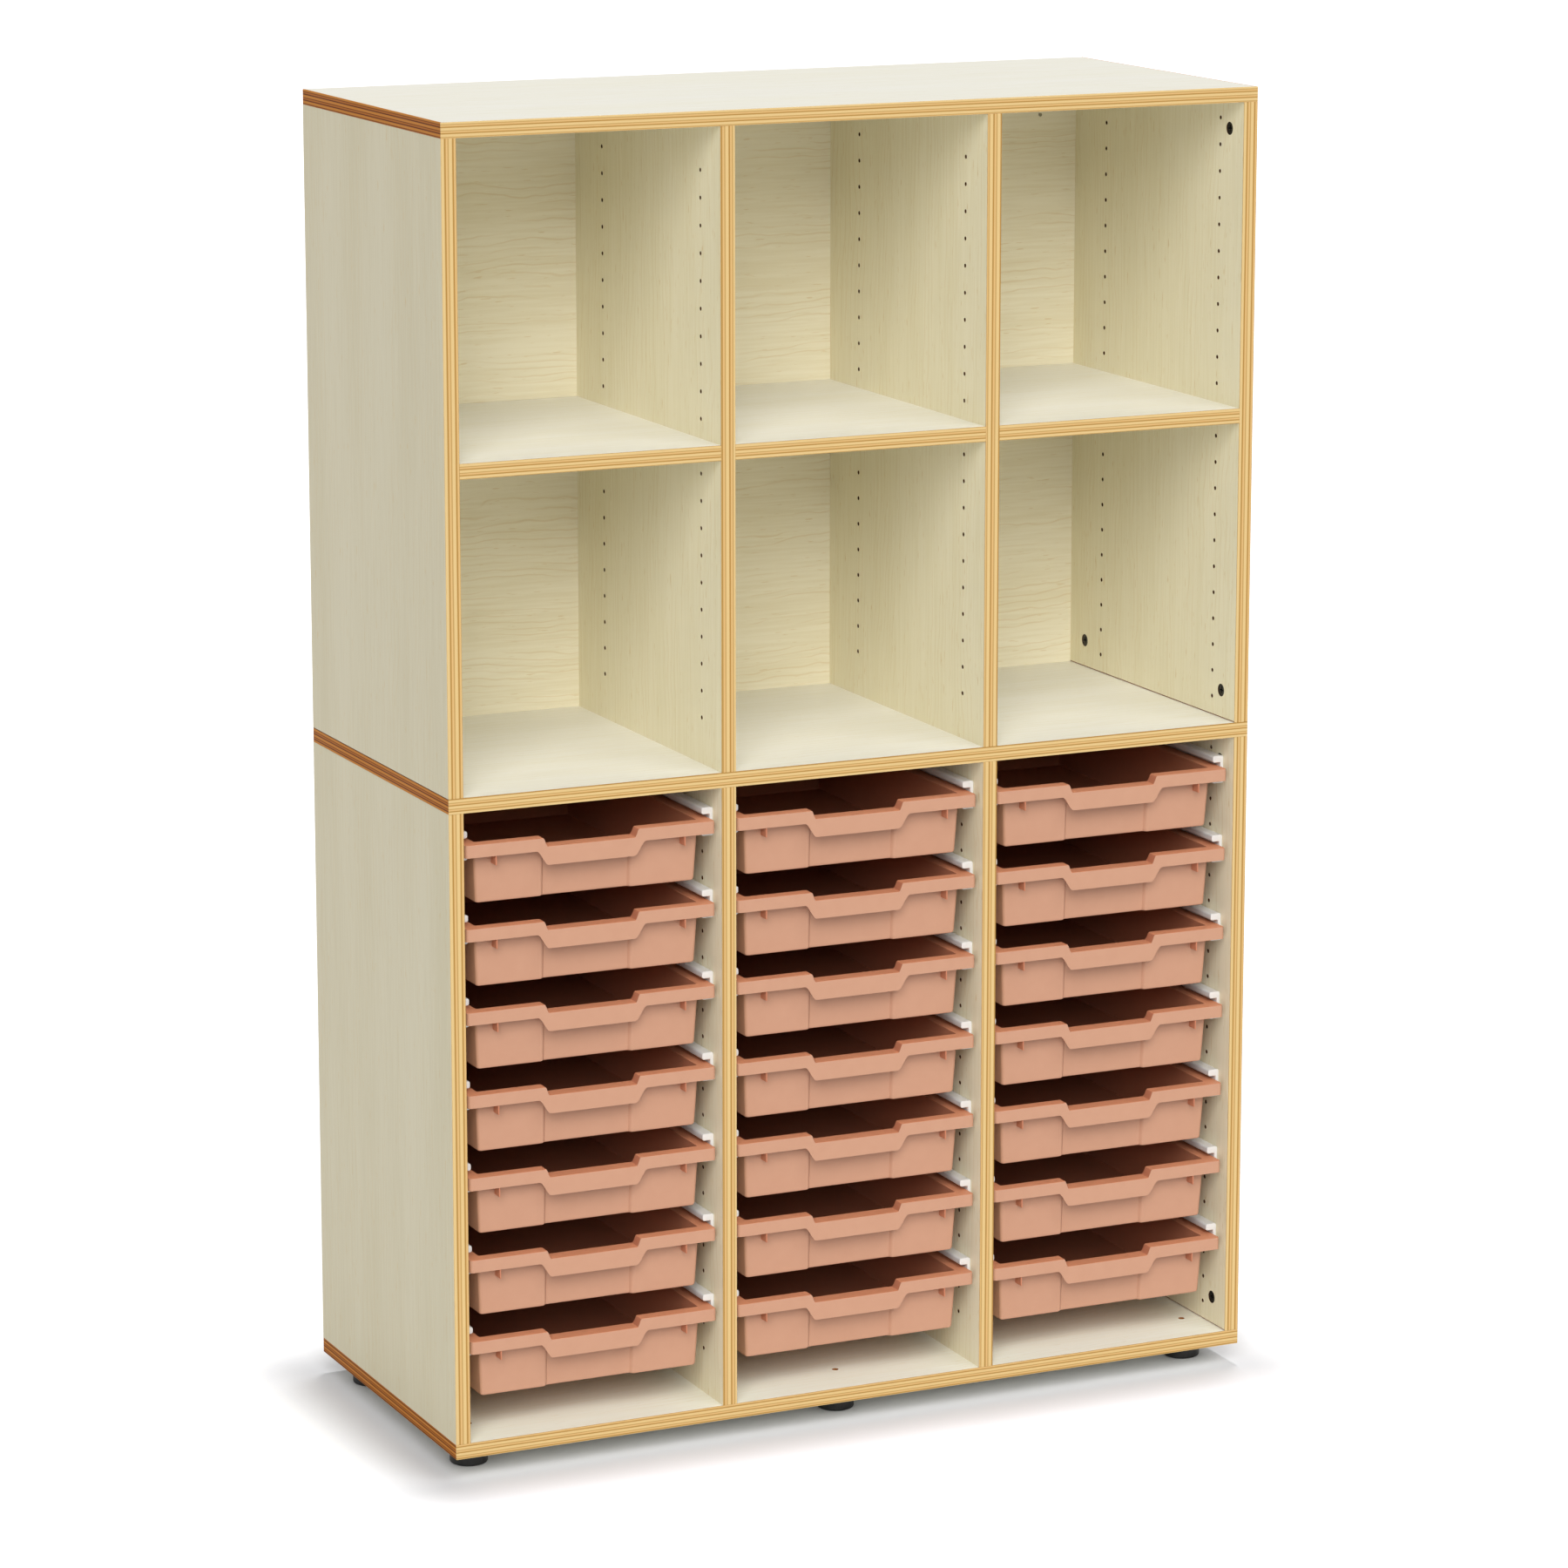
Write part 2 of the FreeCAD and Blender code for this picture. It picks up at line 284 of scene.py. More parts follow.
def speckled(name, dark, light, grains_per_metre, rough, relief, metallic=0.0, specular=0.5):
    """A material with the fine speckle."""
    material = bpy.data.materials.new(name)
    material.use_nodes = True
    tree = material.node_tree
    shader = tree.nodes["Principled BSDF"]
    shader.inputs["Metallic"].default_value = metallic
    shader.inputs["Specular IOR Level"].default_value = specular
    where = place(tree, "ShaderNodeTexCoord")
    grains = place(tree, "ShaderNodeGroup", node_tree=fine_speckle)
    grains.inputs["Dark"].default_value = dark
    grains.inputs["Light"].default_value = light
    grains.inputs["Grains per metre"].default_value = grains_per_metre
    grains.inputs["Roughness"].default_value = rough - 0.08
    tree.links.new(where.outputs["Object"], grains.inputs["Position"])
    tree.links.new(grains.outputs["Colour"], shader.inputs["Base Color"])
    tree.links.new(grains.outputs["Roughness"], shader.inputs["Roughness"])
    bump = place(tree, "ShaderNodeBump")
    bump.inputs["Strength"].default_value = relief
    bump.inputs["Distance"].default_value = 0.0005
    tree.links.new(grains.outputs["Relief"], bump.inputs["Height"])
    tree.links.new(bump.outputs["Normal"], shader.inputs["Normal"])
    return material


# The walls of the pin holes and cam pockets are a near-black brown, much darker than chipboard: painted
# shade inside the holes.
hole_wall_painted_shade = speckled("drilled chipboard, painted shade", srgb(56, 32, 14), srgb(98, 60, 28),
                grains_per_metre=900, rough=0.85, relief=0.5, specular=0.2)
# Chipboard as it shows in the walls of the foot holes. The same brown is laid on the small chamfer at each
# end's lower inner edge, where it is painted shade along the joint with the board below.
raw_chipboard_and_joint_shade = speckled("raw chipboard and painted joint shade", srgb(132, 78, 34), srgb(168, 106, 54),
                         grains_per_metre=900, rough=0.85, relief=0.3, specular=0.2)


def rest_selection():
    """Back to object mode with nothing selected."""
    if bpy.context.object and bpy.context.object.mode != "OBJECT":
        bpy.ops.object.mode_set(mode="OBJECT")
    bpy.ops.object.select_all(action="DESELECT")


def make_active(piece):
    """Only this piece is selected and active."""
    rest_selection()
    piece.select_set(True)
    bpy.context.view_layer.objects.active = piece


def settle(piece):
    """Puts the piece's place, turn and size into its mesh."""
    make_active(piece)
    bpy.ops.object.transform_apply(location=True, rotation=True, scale=True)


def new_block(name, low, high):
    """A block between two corners, as a start for shaping."""
    rest_selection()
    low, high = Vector(low), Vector(high)
    bpy.ops.mesh.primitive_cube_add(size=1, location=(low + high) / 2)
    piece = bpy.context.object
    piece.name = name
    piece.scale = high - low
    settle(piece)
    return piece


def new_rod(name, radius, length, centre, turn, sides):
    """A round rod centred on a point; turn lays it along the axis wanted."""
    rest_selection()
    bpy.ops.mesh.primitive_cylinder_add(vertices=sides, radius=radius, depth=length,
                                        location=centre, rotation=turn)
    piece = bpy.context.object
    piece.name = name
    settle(piece)
    return piece


def apply_modifier(piece, kind, **settings):
    """Adds a modifier and applies it."""
    make_active(piece)
    modifier = piece.modifiers.new(kind.lower(), kind)
    for name, value in settings.items():
        setattr(modifier, name, value)
    bpy.ops.object.modifier_apply(modifier=modifier.name)


def join(pieces, name):
    """Joins pieces into one mesh."""
    rest_selection()
    for piece in pieces:
        piece.select_set(True)
    bpy.context.view_layer.objects.active = pieces[0]
    if len(pieces) > 1:
        bpy.ops.object.join()
    bpy.context.object.name = name
    return bpy.context.object


def finish_with(piece, *materials):
    """Gives a new piece its finishes in slot order."""
    piece.data.materials.clear()
    for material in materials:
        piece.data.materials.append(material)


def drill(piece, drills, cut_wall):
    """Cuts the drills out of the piece; the cut walls keep the drills' own finish."""
    drills.data.materials.clear()
    drills.data.materials.append(cut_wall)
    apply_modifier(piece, "BOOLEAN", operation="DIFFERENCE", object=drills, solver="EXACT",
                   material_mode="TRANSFER")
    rest_selection()
    drills.select_set(True)
    bpy.ops.object.delete()


def hole_row(face_x, y, first_z, count):
    """One upright row of shelf-pin drills through a face."""
    row = new_rod("drills", pin_hole_radius, 2 * pin_hole_depth, (face_x, y, first_z), along_x, sides=12)
    apply_modifier(row, "ARRAY", count=count, use_relative_offset=False, use_constant_offset=True,
                   constant_offset_displace=(0, 0, pin_hole_pitch))
    return row


def edit(piece, select_mode):
    """Edit mode with nothing selected."""
    make_active(piece)
    bpy.ops.object.mode_set(mode="EDIT")
    bpy.ops.mesh.select_mode(type=select_mode)
    bpy.ops.mesh.select_all(action="DESELECT")


def choose(piece, kind, test):
    """Selects the faces, edges or verts for which test holds."""
    mesh = bmesh.from_edit_mesh(piece.data)
    for element in getattr(mesh, kind):
        element.select = test(element)
    mesh.select_flush_mode()
    bmesh.update_edit_mesh(piece.data)


def ease_joint_edge_in_painted_shade(piece, x, z, slot):
    """Eases the sharp inner lower edge of an end, where it meets the board below; the small chamfer is real,
    and its brown is painted shade along the joint.
    """
    def inner_lower_edge(edge):
        return all(abs(v.co.x - x) < hair and abs(v.co.z - z) < hair for v in edge.verts)
    edit(piece, "EDGE")
    choose(piece, "edges", inner_lower_edge)
    bpy.ops.mesh.bevel(offset=joint_chamfer, segments=1, affect="EDGES", material=slot)
    rest_selection()


for storey in ("upper", "lower"):
    for name in upright_names:
        node = storey + "_" + name
        low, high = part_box(node)
        is_end = name.endswith("end")
        piece = new_block(node + "_drilled", low, high)
        piece.data.materials.append(upright_maple)
        inner_x, outer_x = (high.x, low.x) if name == "left_end" else (low.x, high.x)
        drilled_faces = [inner_x] if is_end else [low.x, high.x]
        first = end_first_hole if is_end else divider_first_hole
        count = end_holes if is_end else divider_holes
        drills = [hole_row(x, front_face + row, low.z + first, count)
                  for x in drilled_faces for row in pin_rows_from_front]
        if is_end:
            for row in cam_rows_from_front:
                for z in (low.z + cam_from_board, high.z - cam_from_board):
                    drills.append(new_rod("drill", cam_radius + cam_fit, 2 * cam_pocket_depth,
                                          (inner_x, front_face + row, z), along_x, sides=32))
        drill(piece, join(drills, "drills"), hole_wall_painted_shade)
        if is_end:
            piece.data.materials.append(raw_chipboard_and_joint_shade)
            piece.data.materials.append(outer_maple_painted_shade)
            ease_joint_edge_in_painted_shade(piece, inner_x, low.z, 2)
            # The outer face takes the darker copy of the melamine: painted shade.
            for face in piece.data.polygons:
                if abs(face.center.x - outer_x) < hair:
                    face.material_index = 3
        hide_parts(node)
        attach(piece, "cabinet")

# ---------------------------------------------------------------------------------------------
# The base board, drilled right through over each of the six feet. The key goes down the hole
# to turn the foot's screw, so the unit is levelled from inside.
base_low, base_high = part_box("base_board")
foot_hole_radius = 0.00405
foot_names = ("front_left", "front_centre", "front_right", "back_left", "back_centre", "back_right")

# The base board is the same melamine, given the palest colours of all: painted light, against the shade the
# lowest trays cast on it.
base_maple_painted_light = maple_melamine("maple melamine, base, painted light", grain_level, (0.7, 0.5, 0.1),
                            srgb(250, 251, 237), srgb(247, 246, 228), line_strength=0.10,
                            fleck_strength=0.30)
base_piece = new_block("base_board_drilled", base_low, base_high)
base_piece.data.materials.append(base_maple_painted_light)
foot_holes = []
for name in foot_names:
    low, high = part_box("foot_" + name)
    centre = (low + high) / 2
    foot_holes.append(new_rod("drill", foot_hole_radius, 3 * (base_high.z - base_low.z),
                              (centre.x, centre.y, base_low.z), (0, 0, 0), sides=32))
drill(base_piece, join(foot_holes, "drills"), raw_chipboard_and_joint_shade)
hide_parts("base_board")
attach(base_piece, "cabinet")

# ---------------------------------------------------------------------------------------------
# The cam locks: die-cast discs, blackened, turned with a screwdriver from inside the end bays.
# Their heads lie just under the face of the board and have a cross recess.
cam_black = speckled("blackened zinc", srgb(12, 11, 10), srgb(38, 35, 32),
                     grains_per_metre=700, rough=0.42, relief=0.2, metallic=0.4)
cam_head_depth = 0.0008           # head below the face of the board
recess_half_width = 0.0009
recess_half_length = 0.0042
recess_depth = 0.004              # cross recess below the face of the board


def cam_lock(face_x, inward, y, z):
    """One cam lock with its cross recess."""
    centre_x = face_x + inward * (cam_head_depth + cam_pocket_depth) / 2
    body = new_rod("cam", cam_radius, cam_pocket_depth - cam_head_depth, (centre_x, y, z), along_x, sides=32)
    slots = []
    for half_y, half_z in ((recess_half_width, recess_half_length), (recess_half_length, recess_half_width)):
        slots.append(new_block("slot", (face_x - recess_depth, y - half_y, z - half_z),
                               (face_x + recess_depth, y + half_y, z + half_z)))
    for slot in slots:
        apply_modifier(body, "BOOLEAN", operation="DIFFERENCE", object=slot, solver="EXACT")
    rest_selection()
    for slot in slots:
        slot.select_set(True)
    bpy.ops.object.delete()
    finish_with(body, cam_black)
    return body


for storey in ("upper", "lower"):
    for name, inward in (("left_end", -1), ("right_end", 1)):
        low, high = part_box(storey + "_" + name)
        face_x = high.x if inward < 0 else low.x
        locks = [cam_lock(face_x, inward, front_face + row, z)
                 for row in cam_rows_from_front for z in (low.z + cam_from_board, high.z - cam_from_board)]
        piece = join(locks, "cam_locks_" + storey + "_" + name)
        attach(piece, "cabinet")

# ---------------------------------------------------------------------------------------------
# The two backs and the three shelves, of the same board. The backs are let in between the ends
# with their grain level. The upper back has a fixing hole for the wall near each upper corner.
wall_hole_radius = 0.0025
wall_hole_inset = 0.050           # from the end upright and from the top board
wall_drill_length = 0.060

back_maple = maple_melamine("maple melamine, back", grain_level, (0.9, 0.3, 0.2),
                            srgb(245, 238, 213), srgb(237, 228, 198), line_strength=0.28,
                            fleck_strength=0.35)
back_low, back_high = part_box("upper_back")
back_piece = new_block("upper_back_drilled", back_low, back_high)
back_piece.data.materials.append(back_maple)
wall_holes = [new_rod("drill", wall_hole_radius, wall_drill_length,
                      (x, back_low.y, back_high.z - wall_hole_inset), (math.radians(90), 0, 0), sides=24)
              for x in (back_low.x + wall_hole_inset, back_high.x - wall_hole_inset)]
# The walls of the wall-fixing holes take the pale back finish instead of chipboard: painted light in the
# holes.
drill(back_piece, join(wall_holes, "drills"), back_maple)
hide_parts("upper_back")
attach(back_piece, "cabinet")
dress("lower_back", back_maple)
# The shelves take the level boards' lighter copy of the melamine: painted light.
for node in ("shelf_left", "shelf_centre", "shelf_right"):
    dress(node, level_maple_painted_light)

# ---------------------------------------------------------------------------------------------
# The edging: 2 mm plastic strips printed with fine stripes in the way of plywood, glued to
# the front edges of all boards and to the side edges of the level ones, corners eased.
edging_depth = 0.002
edging_ease = 0.0005
stripe_wander = 0.0005            # how far the printed stripes stray from a straight line


def striped_edging(name, light, warm, strong, thin, across, low, period, specular=0.2):
    """Stripes across the board's thickness; across is the axis, low where a strong stripe lies."""
    material = bpy.data.materials.new(name)
    material.use_nodes = True
    tree = material.node_tree
    shader = tree.nodes["Principled BSDF"]
    shader.inputs["Specular IOR Level"].default_value = specular
    where = place(tree, "ShaderNodeTexCoord")
    apart = place(tree, "ShaderNodeSeparateXYZ")
    tree.links.new(where.outputs["Object"], apart.inputs["Vector"])
    wander = place(tree, "ShaderNodeTexNoise")
    wander.inputs["Scale"].default_value = 6.0
    tree.links.new(where.outputs["Object"], wander.inputs["Vector"])
    height = place(tree, "ShaderNodeMath", operation="MULTIPLY_ADD")
    height.inputs[1].default_value = stripe_wander
    tree.links.new(wander.outputs["Fac"], height.inputs[0])
    tree.links.new(apart.outputs[across], height.inputs[2])
    scaled = place(tree, "ShaderNodeMath", operation="MULTIPLY_ADD")
    scaled.inputs[1].default_value = 1 / period
    scaled.inputs[2].default_value = -(low + stripe_wander / 2) / period
    tree.links.new(height.outputs[0], scaled.inputs[0])
    wrapped = place(tree, "ShaderNodeMath", operation="FRACT")
    tree.links.new(scaled.outputs[0], wrapped.inputs[0])
    ramp = place(tree, "ShaderNodeValToRGB")
    stops = [(0.0, strong), (0.05, strong), (0.15, warm), (0.30, warm), (0.38, thin), (0.44, thin),
             (0.54, light), (0.84, light), (0.96, strong)]
    band = ramp.color_ramp
    while len(band.elements) < len(stops):
        band.elements.new(0.5)
    for element, (position, colour) in zip(band.elements, stops):
        element.position = position
        element.color = colour
    tree.links.new(wrapped.outputs[0], ramp.inputs["Fac"])
    tree.links.new(ramp.outputs["Color"], shader.inputs["Base Color"])
    gloss = place(tree, "ShaderNodeMapRange")
    gloss.inputs["To Min"].default_value = 0.38
    gloss.inputs["To Max"].default_value = 0.52
    tree.links.new(wander.outputs["Fac"], gloss.inputs["Value"])
    tree.links.new(gloss.outputs["Result"], shader.inputs["Roughness"])
    ridge = place(tree, "ShaderNodeBump")
    ridge.inputs["Strength"].default_value = 0.1
    ridge.inputs["Distance"].default_value = 0.0003
    tree.links.new(wrapped.outputs[0], ridge.inputs["Height"])
    tree.links.new(ridge.outputs["Normal"], shader.inputs["Normal"])
    return material


front_colours = (srgb(213, 183, 126), srgb(209, 172, 113), srgb(168, 127, 61), srgb(182, 145, 84))
# The side strips are the same printed edging as the front, in much darker, browner colours: painted shade,
# for sides turned from the light.
side_colours_painted_shade = (srgb(196, 127, 50), srgb(178, 106, 36), srgb(98, 44, 4), srgb(122, 62, 10))
level_period = 0.0070             # from one strong stripe to the next
level_start = base_low.z + 0.0015
upright_period = 0.00962
upright_start = solids_low.x + 0.0045
level_stripes = striped_edging("edging stripes, level", *front_colours, "Z", level_start, level_period)
side_stripes_painted_shade = striped_edging("edging stripes, sides, painted shade", *side_colours_painted_shade, "Z", level_start, level_period, 0.03)
upright_stripes = striped_edging("edging stripes, upright", *front_colours, "X", upright_start,
                                 upright_period)


def edging_strip(name, low, high, stripes):
    """One strip with eased edges."""
    piece = new_block(name, low, high)
    apply_modifier(piece, "BEVEL", width=edging_ease, segments=2, limit_method="ANGLE")
    finish_with(piece, stripes)
    return piece


def front_strip(node, stripes):
    """The strip on the front edge of a board; the CAD board stops behind it."""
    low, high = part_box(node)
    return edging_strip(node + "_edging", (low.x, front_face, low.z),
                        (high.x, front_face + edging_depth, high.z), stripes)


def fix_edging(name, strips, node):
    """Joins the strips and puts them in place of the plain ones."""
    piece = join(strips, name)
    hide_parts(node)
    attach(piece, "cabinet")


level_strips = []
for name in ("top_board", "middle_board", "base_board"):
    low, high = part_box(name)
    level_strips.append(edging_strip(name + "_front", (solids_low.x, front_face, low.z),
                                     (solids_high.x, front_face + edging_depth, high.z), level_stripes))
    for x0 in (solids_low.x, solids_high.x - edging_depth):
        level_strips.append(edging_strip(name + "_side", (x0, front_face + edging_depth, low.z),
                                         (x0 + edging_depth, solids_high.y, high.z), side_stripes_painted_shade))
fix_edging("level_board_edging", level_strips, "board_edging")
fix_edging("upright_board_edging",
           [front_strip(storey + "_" + name, upright_stripes) for storey in ("upper", "lower")
            for name in upright_names], "upright_edging")
fix_edging("shelf_board_edging",
           [front_strip(name, level_stripes) for name in ("shelf_left", "shelf_centre", "shelf_right")],
           "shelf_edging")

# ---------------------------------------------------------------------------------------------
# The runners: white C sections of extruded plastic, 385 mm long, screwed to the uprights. The
# tray's rim rides on the lower flange, and the upper flange over it keeps the tray from tipping.
runner_web = 0.0042
runner_height = 0.0341
runner_seat_below_rim = 0.0153
runner_roof_above_rim = 0.0044
flange_ease = 0.0025
runner_ease = 0.0009
sharp = math.radians(50)          # corners sharper than this are eased
tray_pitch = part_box("tray_left_1")[0].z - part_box("tray_left_2")[0].z
tray_rows = 7

runner_white = speckled("white runner plastic", srgb(222, 223, 221), srgb(232, 233, 231),
                        grains_per_metre=120, rough=0.42, relief=0.04)


def slice_at(point, normal):
    """Cuts a line of edges through the whole piece that is being edited."""
    bpy.ops.mesh.select_all(action="SELECT")
    bpy.ops.mesh.bisect(plane_co=point, plane_no=normal)
    bpy.ops.mesh.select_all(action="DESELECT")


def model_runner(low, high, rim):
    """A left-hand runner filling low to high, with the tray's rim at that height."""
    runner = new_block("runner", low, (low.x + runner_web, high.y, high.z))
    seat, roof = rim - runner_seat_below_rim, rim + runner_roof_above_rim
    edit(runner, "FACE")
    for z in (seat, roof):
        slice_at((0, 0, z), (0, 0, 1))

    def flange(face):
        level = face.calc_center_median().z
        return face.normal.x > 0.9 and not seat < level < roof
    choose(runner, "faces", flange)
    reach = high.x - low.x - runner_web
    bpy.ops.mesh.extrude_region_move(TRANSFORM_OT_translate={"value": (reach, 0, 0)})
    bpy.ops.mesh.select_all(action="DESELECT")

    def outer_edge(edge):
        ends = [v.co for v in edge.verts]
        along = abs(ends[0].y - ends[1].y) > (high.y - low.y) / 2
        return along and all(v.x > high.x - hair and abs(v.z - seat) > hair for v in ends)
    choose(runner, "edges", outer_edge)
    bpy.ops.mesh.bevel(offset=flange_ease, segments=4, affect="EDGES")
    bpy.ops.mesh.select_all(action="DESELECT")

    def top_wall_edge(edge):
        return all(v.co.x < low.x + hair and v.co.z > high.z - hair for v in edge.verts)
    choose(runner, "edges", top_wall_edge)
    bpy.ops.mesh.bevel(offset=flange_ease, segments=4, affect="EDGES")
    rest_selection()
    apply_modifier(runner, "BEVEL", width=runner_ease, segments=2, limit_method="ANGLE", angle_limit=sharp)
    finish_with(runner, runner_white)
    return runner


def smooth(piece):
    """Smooth shading up to 35 degrees, with the flat faces kept flat."""
    make_active(piece)
    bpy.ops.object.shade_smooth_by_angle(angle=math.radians(35))
    apply_modifier(piece, "WEIGHTED_NORMAL", keep_sharp=True)


def copy_moved(piece, name, by):
    """A copy with its own mesh, moved within the mesh."""
    copy = piece.copy()
    copy.data = piece.data.copy()
    copy.name = name
    bpy.context.scene.collection.objects.link(copy)
    copy.location = by
    settle(copy)
    return copy


def mirror_across(piece, x):
    """Turns a left-hand piece into a right-hand one, across an upright plane."""
    make_active(piece)
    bpy.ops.object.mode_set(mode="EDIT")
    bpy.ops.mesh.select_all(action="SELECT")
    bpy.ops.transform.mirror(orient_type="GLOBAL", constraint_axis=(True, False, False),
                             center_override=(x, 0, 0))
    bpy.ops.mesh.normals_make_consistent(inside=False)
    rest_selection()


first_low, first_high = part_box("runners_left_bay_left")
first_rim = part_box("tray_left_1")[1].z
top_runner_low = Vector((first_low.x, first_low.y, first_high.z - runner_height))
left_runner = model_runner(top_runner_low, first_high, first_rim)
for bay in ("left", "centre", "right"):
    for side in ("left", "right"):
        node = "runners_" + bay + "_bay_" + side
        low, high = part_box(node)
        wall = []
        for row in range(tray_rows):
            down = Vector((0, 0, -row * tray_pitch))
            piece = copy_moved(left_runner, "runner", Vector((low.x - first_low.x, 0, 0)) + down)
            if side == "right":
                mirror_across(piece, (low.x + high.x) / 2)
            wall.append(piece)
        piece = join(wall, node + "_moulded")
        smooth(piece)
        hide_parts(node)
        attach(piece, "cabinet")
rest_selection()
left_runner.select_set(True)
bpy.ops.object.delete()

# ---------------------------------------------------------------------------------------------
# The trays: injection-moulded in one 2 mm wall of satin salmon plastic. The rim turns down into
# a skirt all round; at the front it dips into a handle over a deeper skirt, with the wall
# stepped back behind it for the fingers and two thin ribs under the rim.
tray_wall = 0.002
rim_top_width = 0.017
front_top_width = 0.0165
back_top_width = 0.014
rim_corner = 0.004
well_corner = 0.0020
skirt = 0.015
wall_lean = 0.0037
floor_ease = 0.0015
soft_edge = 0.0009
handle_dip = 0.010
dip_starts, dip_ends = 0.0545, 0.0600             # all from the tray's middle, to either side
deep_skirt = 0.017
deep_starts, deep_ends = 0.0535, 0.0685
recess = 0.004
recess_starts, recess_ends = 0.0532, 0.0576
# lines of edges over the three slopes, closest where the wall steps back
handle_columns = (0.0532, 0.0538, 0.0545, 0.0551, 0.0557, 0.0563, 0.0570, 0.0576, 0.0584, 0.0592, 0.0600,
                  0.0614, 0.0628, 0.0642, 0.0656, 0.0670, 0.0685)
rib_from_middle = 0.118
rib_thickness = 0.0016
rib_height = 0.0265
rib_ease = 0.0003

tray_salmon = speckled("salmon tray plastic", srgb(189, 141, 114), srgb(195, 148, 121),
                       grains_per_metre=60, rough=0.48, relief=0.04, specular=0.3)
# The faces turned inwards or up, and the ribs, take a deeper, redder copy of the same plastic: painted
# shade.
tray_inside_painted_shade = speckled("salmon tray plastic, inside, painted shade", srgb(189, 121, 91), srgb(196, 129, 99),
                       grains_per_metre=60, rough=0.5, relief=0.04, specular=0.2)
# The rim's top takes a brighter, more orange copy of the same plastic: painted light, against the shade of
# the tray above.
tray_rim_top_painted_light = speckled("salmon tray plastic, rim top, painted light", srgb(208, 138, 102), srgb(214, 145, 109),
                        grains_per_metre=60, rough=0.5, relief=0.04, specular=0.2)


def eased(value, start, end):
    """0 before start, 1 after end, and an S curve between."""
    share = min(max((value - start) / (end - start), 0.0), 1.0)
    return share * share * (3 - 2 * share)


def move_chosen(piece, test, by):
    """Moves the vertices for which test holds."""
    choose(piece, "verts", test)
    bpy.ops.transform.translate(value=by)


def draw_in(tray, centre, test, side, front, back):
    """Moves the four corners of an outline towards its middle."""
    for across in (-1, 1):
        for along, shift in ((-1, front), (1, back)):
            move_chosen(tray, lambda v: test(v) and (v.co.x - centre.x) * across > 0
                        and (v.co.y - centre.y) * along > 0, (-across * side, -along * shift, 0))


def rim_sheet(low, high):
    """The rim's top as a level sheet with round corners, and the outline of the opening within it."""
    centre = (low + high) / 2
    rest_selection()
    bpy.ops.mesh.primitive_plane_add(size=1, location=(centre.x, centre.y, high.z))
    tray = bpy.context.object
    tray.scale = (high.x - low.x, high.y - low.y, 1)
    settle(tray)
    edit(tray, "VERT")
    bpy.ops.mesh.select_all(action="SELECT")
    bpy.ops.mesh.bevel(offset=rim_corner, segments=4, affect="VERTICES")
    bpy.ops.mesh.select_mode(type="FACE")
    bpy.ops.mesh.select_all(action="SELECT")
    bpy.ops.mesh.inset(thickness=rim_corner - well_corner, depth=0)
    bpy.ops.mesh.select_mode(type="VERT")
    within = rim_top_width - (rim_corner - well_corner)
    draw_in(tray, centre, lambda v: not v.is_boundary, within, within + front_top_width - rim_top_width,
            within + back_top_width - rim_top_width)
    return tray


def draw_well(tray, low, high):
    """Draws the well down from the opening: walls that lean in, and a floor eased by two facets."""
    centre = (low + high) / 2
    level = high.z
    lean = 0

    def well_floor(face):
        level_face = face.normal.z > 0.9 and abs(face.calc_center_median().z - level) < hair
        return level_face and not any(v.is_boundary for v in face.verts)
    well_depth = high.z - low.z - tray_wall
    for depth, leaning in ((well_depth - floor_ease, wall_lean),
                           (well_depth - 0.3 * floor_ease, wall_lean + 0.3 * floor_ease),
                           (well_depth, wall_lean + floor_ease)):
        bpy.ops.mesh.select_mode(type="FACE")
        choose(tray, "faces", well_floor)
        bpy.ops.mesh.extrude_region_move(TRANSFORM_OT_translate={"value": (0, 0, high.z - depth - level)})
        bpy.ops.mesh.select_mode(type="VERT")
        level = high.z - depth
        inwards = leaning - lean
        draw_in(tray, centre, lambda v: abs(v.co.z - level) < hair, inwards, inwards, inwards)
        lean = leaning


def drop_skirt(tray):
    """Turns the rim down all round the outside."""
    bpy.ops.mesh.select_mode(type="EDGE")
    choose(tray, "edges", lambda e: e.is_boundary)
    bpy.ops.mesh.extrude_region_move(TRANSFORM_OT_translate={"value": (0, 0, -skirt)})


def shape_handle(tray, low, high):
    """Steps the wall back behind the handle, deepens the skirt and dips the rim."""
    centre = (low + high) / 2
    bpy.ops.mesh.select_mode(type="VERT")
    for column in handle_columns:
        for side in (-1, 1):
            slice_at((centre.x + side * column, 0, 0), (1, 0, 0))
    opening_front = low.y + front_top_width
    walls_end = opening_front + wall_lean + floor_ease + hair

    def front_wall(v):
        return opening_front - hair < v.co.y < walls_end

    def skirt_edge(v):
        return v.co.y < low.y + hair and v.co.z < high.z - skirt / 2

    def front_rim(v):
        return v.co.y < opening_front + recess + hair and v.co.z > high.z - 5 * hair

    for column in handle_columns:
        step_back = recess * (1 - eased(column, recess_starts, recess_ends))
        deepen = deep_skirt * (1 - eased(column, deep_starts, deep_ends))
        dip = handle_dip * (1 - eased(column, dip_starts, dip_ends))
        for part, by in ((front_wall, (0, step_back, 0)), (skirt_edge, (0, 0, -deepen)),
                         (front_rim, (0, 0, -dip))):
            if any(by):
                move_chosen(tray, lambda v: abs(abs(v.co.x - centre.x) - column) < 2 * hair and part(v), by)


